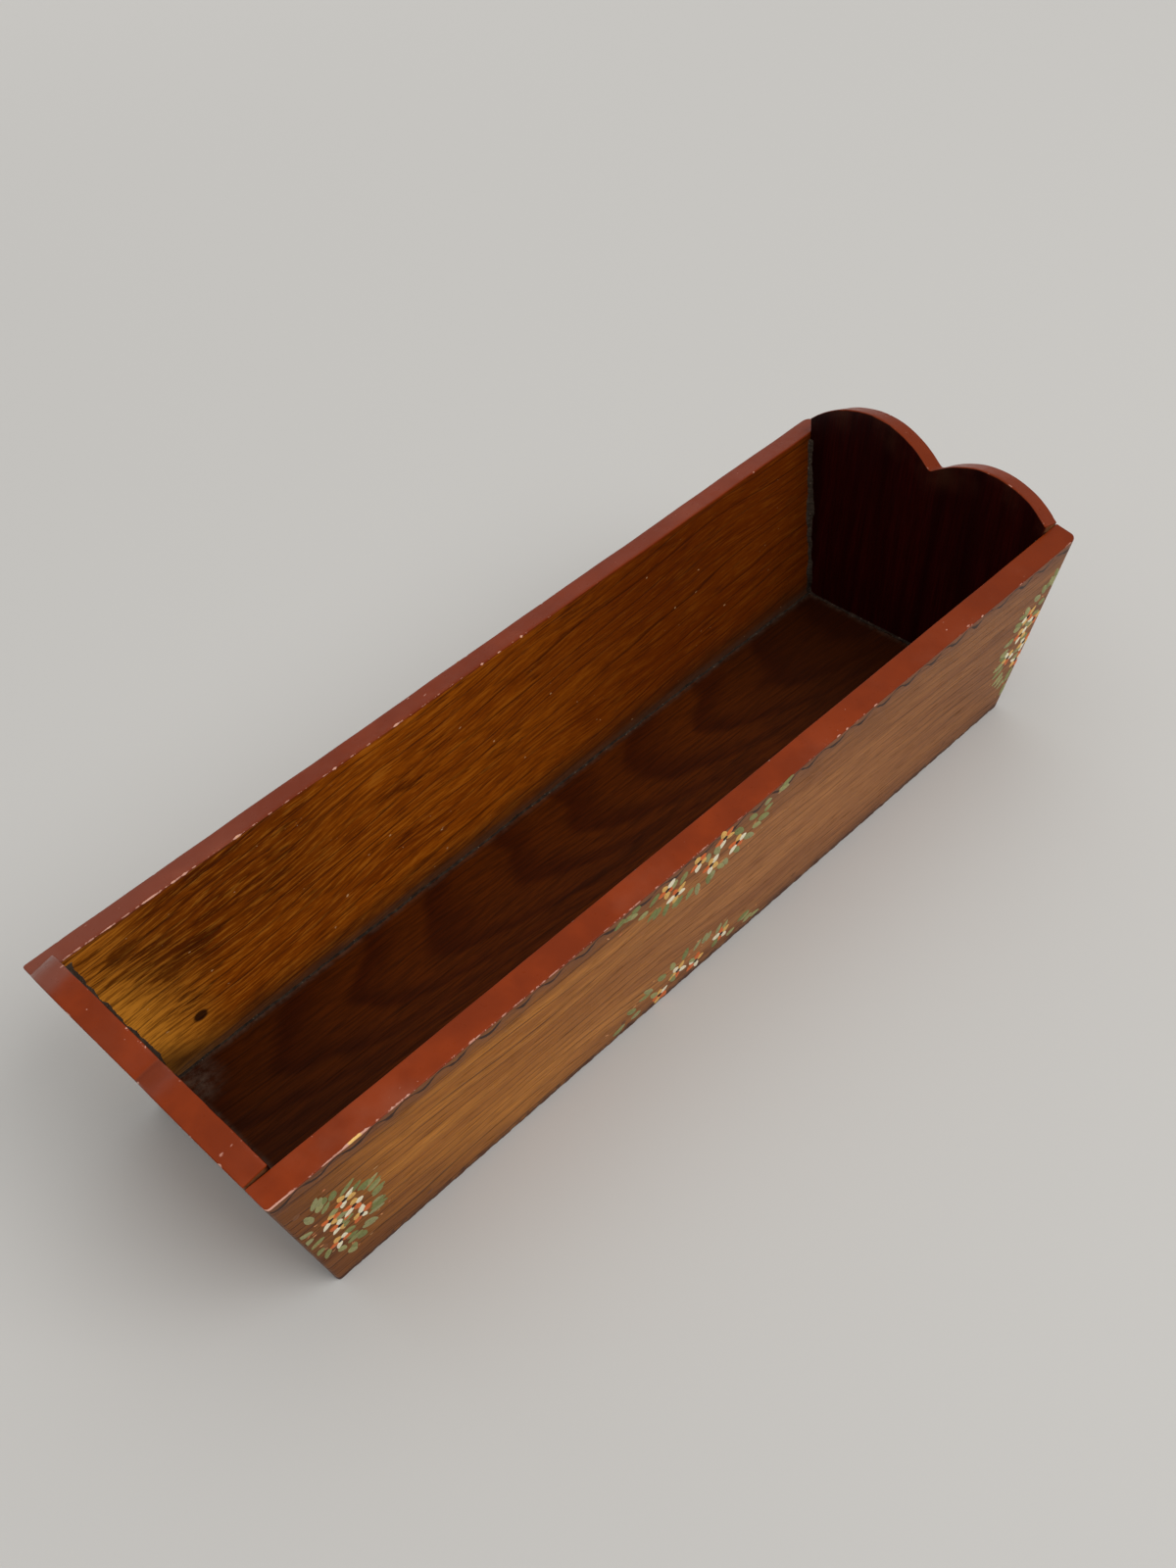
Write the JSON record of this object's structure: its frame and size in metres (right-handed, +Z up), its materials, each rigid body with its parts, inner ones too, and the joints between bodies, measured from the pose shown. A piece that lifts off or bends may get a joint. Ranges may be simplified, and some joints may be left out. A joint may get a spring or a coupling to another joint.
{
  "type": "open painted wooden box",
  "caption": "Long open wooden box with walls that lean outwards, end boards with a double-humped top, painted rims and a bottom let in between the walls.",
  "frame": {"origin": "middle of the box, on the surface that it stands on", "axes": "+X along the box towards the end that the picture shows as the far one, +Z up"},
  "size_m": [0.309, 0.104, 0.0776],
  "materials": {
    "side_wood": "varnished mid-brown wood with a terracotta painted rim",
    "end_wood": "dark red-brown stain with a terracotta painted rim",
    "bottom_wood": "dark brown stain, satin",
    "brad_steel": "drawn steel wire",
    "wood_putty": "filler stained like the board around it",
    "old_glue": "hardened glue, dull with dust"
  },
  "bodies": {
    "root": {"left_side": "side_wood", "right_side": "side_wood", "near_end": "end_wood", "far_end": "end_wood", "bottom_board": "bottom_wood", "corner_brads": "brad_steel", "bottom_brads": "brad_steel", "corner_putty": "wood_putty", "bottom_putty": "wood_putty", "glue_fillet": "old_glue"}
  },
  "joints": []
}
